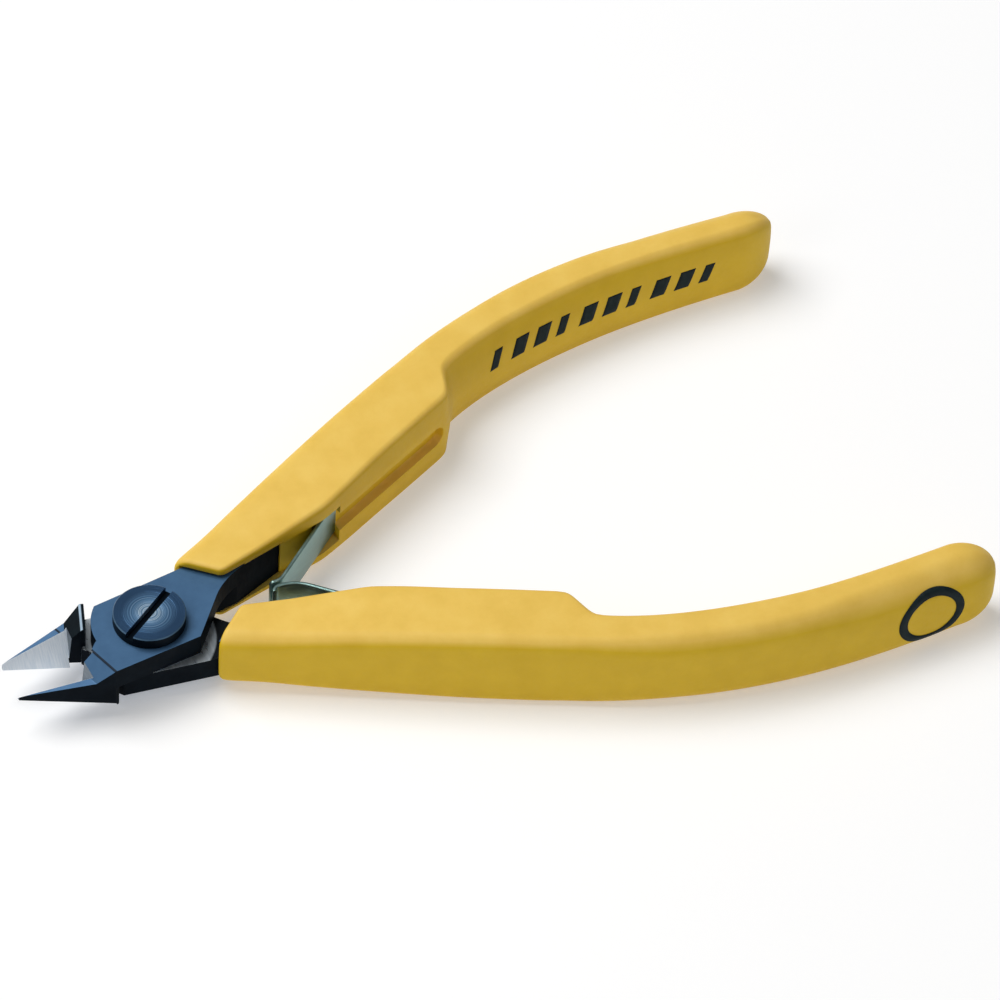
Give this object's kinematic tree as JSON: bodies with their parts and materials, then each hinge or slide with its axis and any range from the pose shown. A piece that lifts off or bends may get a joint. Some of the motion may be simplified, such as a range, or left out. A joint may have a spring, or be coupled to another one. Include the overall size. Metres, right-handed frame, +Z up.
{
  "type": "flush cut pliers",
  "caption": "Small flush cut pliers with lapped steel jaws, a slotted joint screw, moulded yellow grips and a pair of leaf springs.",
  "frame": {"origin": "on the table, under the centre of the tool's bounding box", "axes": "+X along the handles with the jaws at -X, +Y towards the upper grip, +Z up from the table, along the joint screw"},
  "size_m": [0.1071, 0.0622, 0.0106],
  "materials": {
    "cutter_steel": "black oxide, satin",
    "screw_steel": "turned, black oxide",
    "grip_plastic": "matte",
    "spring_steel": "satin",
    "rivet_steel": "satin"
  },
  "bodies": {
    "lower_half": {"lower_cutter_half": "cutter_steel", "lower_grip": "grip_plastic", "joint_screw": "screw_steel", "lower_spring_rivet": "rivet_steel"},
    "upper_half": {"upper_cutter_half": "cutter_steel", "upper_grip": "grip_plastic", "upper_spring_rivet": "rivet_steel"},
    "upper_spring": {"upper_leaf_spring": "spring_steel"},
    "lower_spring": {"lower_leaf_spring": "spring_steel"}
  },
  "joints": [
    {"name": "pivot", "type": "hinge", "parent": "lower_half", "child": "upper_half", "pos_m": [-0.03701, 0, 0.00492], "axis": [0, 0, 1], "range_deg": [-14.5, 0], "stiffness_Nm_per_rad": 0.5, "springref_deg": 14.32},
    {"name": "upper_spring_flex", "type": "hinge", "parent": "upper_half", "child": "upper_spring", "pos_m": [-0.01135, 0.00826, 0.00492], "axis": [0, 0, 1], "range_deg": [-10, 0], "deforming": ["upper_leaf_spring"]},
    {"name": "lower_spring_flex", "type": "hinge", "parent": "lower_half", "child": "lower_spring", "pos_m": [-0.01135, -0.00826, 0.00492], "axis": [0, 0, 1], "range_deg": [0, 10], "deforming": ["lower_leaf_spring"]}
  ],
  "couplings": [
    {"joint": "upper_spring_flex", "follows": "pivot", "ratio": 0.655},
    {"joint": "lower_spring_flex", "follows": "pivot", "ratio": -0.655}
  ]
}
